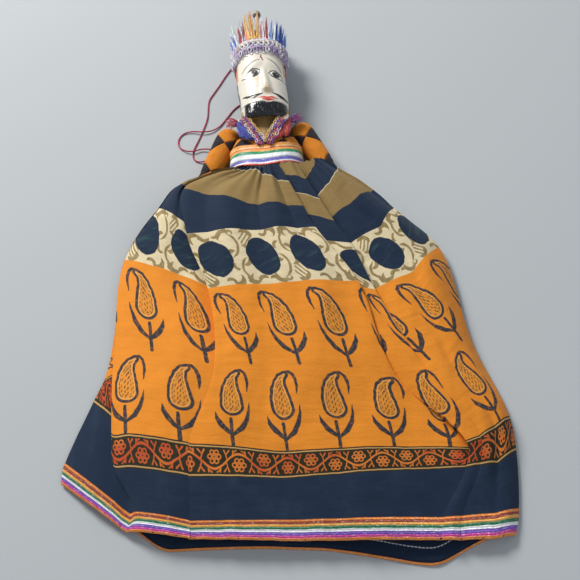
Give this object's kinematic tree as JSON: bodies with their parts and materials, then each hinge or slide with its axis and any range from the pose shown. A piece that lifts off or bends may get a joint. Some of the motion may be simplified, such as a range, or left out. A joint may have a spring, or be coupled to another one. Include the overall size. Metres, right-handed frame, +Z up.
{
  "type": "string puppet",
  "caption": "Rajasthani kathputli string puppet: carved wooden head with crown, stuffed cloth arms, V collar, sash and a long gathered printed skirt, lying on its back.",
  "frame": {"origin": "on the surface it lies on, under the middle of the puppet's box", "axes": "+Z up out of the chest and face as it lies on its back, +Y towards the head, +X to the viewer's right when looking at the face with the head up"},
  "size_m": [0.38, 0.61, 0.052],
  "materials": {
    "carved_wood": "painted and varnished mango wood",
    "crown_cloth": "wrapped dark cloth",
    "tinsel": "metallic tinsel thread",
    "braid": "looped metallic braid",
    "stuffing": "cotton waste and cotton cord",
    "patchwork": "cotton patchwork",
    "blue_tinsel": "shiny thread",
    "red_tinsel": "shiny thread",
    "purple_thread": "shiny thread",
    "gota_ribbon": "striped metallic ribbon",
    "skirt_cloth": "printed crepe",
    "string_cotton": "twisted cotton"
  },
  "bodies": {
    "bust": {"head_block": "carved_wood", "crown_band": "crown_cloth", "crown_cap": "crown_cloth", "crown_fringe": "tinsel", "crown_braid_lower": "braid", "crown_braid_upper": "braid", "crown_knot": "tinsel", "torso_stuffing": "stuffing", "blouse_front": "patchwork", "blouse_back": "patchwork", "collar_braid_left": "braid", "collar_braid_right": "braid", "tassel_blue": "blue_tinsel", "tassel_red": "red_tinsel", "shoulder_tuft_left": "red_tinsel", "shoulder_tuft_right": "purple_thread", "sash_ribbon": "gota_ribbon", "waist_cord": "stuffing", "skirt_yoke_front": "skirt_cloth", "skirt_yoke_back": "skirt_cloth", "head_string": "string_cotton", "hand_string": "string_cotton"},
    "skirt": {"skirt_front": "skirt_cloth", "skirt_back": "skirt_cloth", "hem_ribbon_front": "gota_ribbon", "hem_ribbon_back": "gota_ribbon"},
    "left_upper_arm": {"left_upper_sleeve": "patchwork", "left_upper_stuffing": "stuffing"},
    "left_forearm": {"left_lower_sleeve": "patchwork", "left_lower_stuffing": "stuffing"},
    "right_upper_arm": {"right_upper_sleeve": "patchwork", "right_upper_stuffing": "stuffing"},
    "right_forearm": {"right_lower_sleeve": "patchwork", "right_lower_stuffing": "stuffing"}
  },
  "joints": [
    {"name": "skirt_swing", "type": "hinge", "parent": "bust", "child": "skirt", "pos_m": [0, 0.018, 0.03], "axis": [-1, 0, 0], "range_deg": [-12, 70]},
    {"name": "left_shoulder", "type": "hinge", "parent": "bust", "child": "left_upper_arm", "pos_m": [-0.038, 0.134, 0.015], "axis": [0, 0, -1], "range_deg": [0, 100]},
    {"name": "left_elbow", "type": "hinge", "parent": "left_upper_arm", "child": "left_forearm", "pos_m": [-0.06082, 0.08506, 0.015], "axis": [0, 0, -1], "range_deg": [0, 75]},
    {"name": "right_shoulder", "type": "hinge", "parent": "bust", "child": "right_upper_arm", "pos_m": [0.038, 0.134, 0.015], "axis": [0, 0, 1], "range_deg": [0, 100]},
    {"name": "right_elbow", "type": "hinge", "parent": "right_upper_arm", "child": "right_forearm", "pos_m": [0.06082, 0.08506, 0.015], "axis": [0, 0, 1], "range_deg": [0, 75]}
  ]
}
